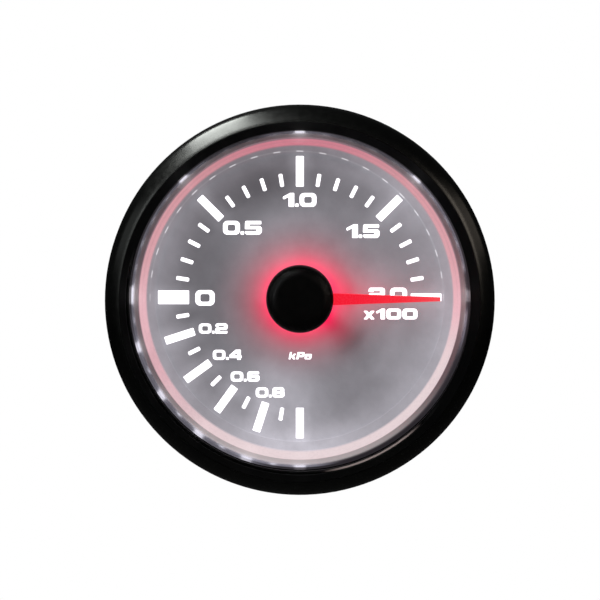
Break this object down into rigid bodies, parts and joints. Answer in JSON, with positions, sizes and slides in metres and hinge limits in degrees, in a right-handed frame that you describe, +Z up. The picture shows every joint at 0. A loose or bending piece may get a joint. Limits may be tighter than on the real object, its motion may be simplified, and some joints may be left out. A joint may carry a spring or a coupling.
{
  "type": "boost gauge",
  "caption": "Round panel gauge with a lit dial, halo ring and red pointer, turned by a geared stepper motor, for showing turbo boost and vacuum.",
  "frame": {"origin": "centre of the body tube in the plane where the bezel's back meets the panel", "axes": "+Y backwards along the body, +Z up to 12 o'clock on the dial, +X to the right as the driver sees the dial"},
  "size_m": [0.06, 0.0563, 0.06],
  "materials": {
    "bezel_black": "satin black anodised",
    "black_rubber": "matt",
    "smoked_lens": "clear, lightly smoked",
    "trim_gloss": "polished dark",
    "halo_frost": "frosted, edge lit",
    "dial_grey": "printed sheet, lit from behind",
    "clear_guide": "clear acrylic",
    "white_plastic": "matt white",
    "red_guide": "clear acrylic, lit red",
    "pointer_red": "translucent red, lit from the hub",
    "cap_black": "matt black",
    "brass": "turned",
    "shaft_steel": "ground",
    "gear_plastic": "natural acetal",
    "motor_black": "fine texture",
    "motor_white": "fine texture",
    "stator_steel": "stamped",
    "copper_wire": "enamelled copper",
    "magnet": "bonded magnet",
    "tinned": "tinned",
    "gold_flash": "gold flashed",
    "board_green": "solder mask",
    "lamp_white": "white lamp, lit",
    "lamp_red": "red lamp, lit",
    "chip_black": "moulded epoxy",
    "capacitor_can": "drawn can",
    "screw_steel": "zinc plated",
    "black_plastic": "moulded nylon",
    "natural_plastic": "moulded nylon",
    "body_black": "fine spark texture",
    "zinc_steel": "zinc plated"
  },
  "bodies": {
    "root": {"bezel": "bezel_black", "lens_seal": "black_rubber", "lens": "smoked_lens", "trim_ring": "trim_gloss", "halo_ring": "halo_frost", "dial_face": "dial_grey", "light_guide": "clear_guide", "reflector": "white_plastic", "pointer_light_pipe": "red_guide", "motor_case_front": "motor_black", "motor_case_back": "motor_white", "motor_stator": "stator_steel", "coil_bobbins": "white_plastic", "coil_windings": "copper_wire", "idler_pin": "shaft_steel", "motor_terminals": "tinned", "main_board": "board_green", "white_leds": "lamp_white", "red_leds": "lamp_red", "controller_chip": "chip_black", "capacitors": "capacitor_can", "board_screws": "screw_steel", "link_socket": "black_plastic", "link_header": "black_plastic", "link_pins": "gold_flash", "connector_board": "board_green", "connector_board_screws": "screw_steel", "power_socket": "natural_plastic", "sensor_socket": "black_plastic", "socket_pins": "tinned", "body_shell": "body_black", "rear_cover": "body_black", "rear_cover_screws": "screw_steel", "mounting_studs": "zinc_steel"},
    "pointer": {"pointer_blade": "pointer_red", "pointer_cap": "cap_black", "pointer_bush": "brass", "pointer_shaft": "shaft_steel", "output_wheel": "gear_plastic"},
    "idler": {"idler_gear": "gear_plastic"},
    "rotor": {"rotor_magnet": "magnet", "rotor_pinion": "gear_plastic"}
  },
  "joints": [
    {"name": "pointer_sweep", "type": "hinge", "parent": "root", "child": "pointer", "pos_m": [0, 0, 0], "axis": [0, 1, 0], "range_deg": [-273, 3]},
    {"name": "idler_spin", "type": "hinge", "parent": "root", "child": "idler", "pos_m": [0.00455, 0, -0.00718], "axis": [0, 1, 0], "range_deg": [-22.5, 2047.5]},
    {"name": "rotor_spin", "type": "hinge", "parent": "root", "child": "rotor", "pos_m": [0, 0, -0.0125], "axis": [0, 1, 0], "range_deg": [-12285, 135]}
  ],
  "couplings": [
    {"joint": "idler_spin", "follows": "pointer_sweep", "ratio": -7.5},
    {"joint": "rotor_spin", "follows": "pointer_sweep", "ratio": 45}
  ]
}
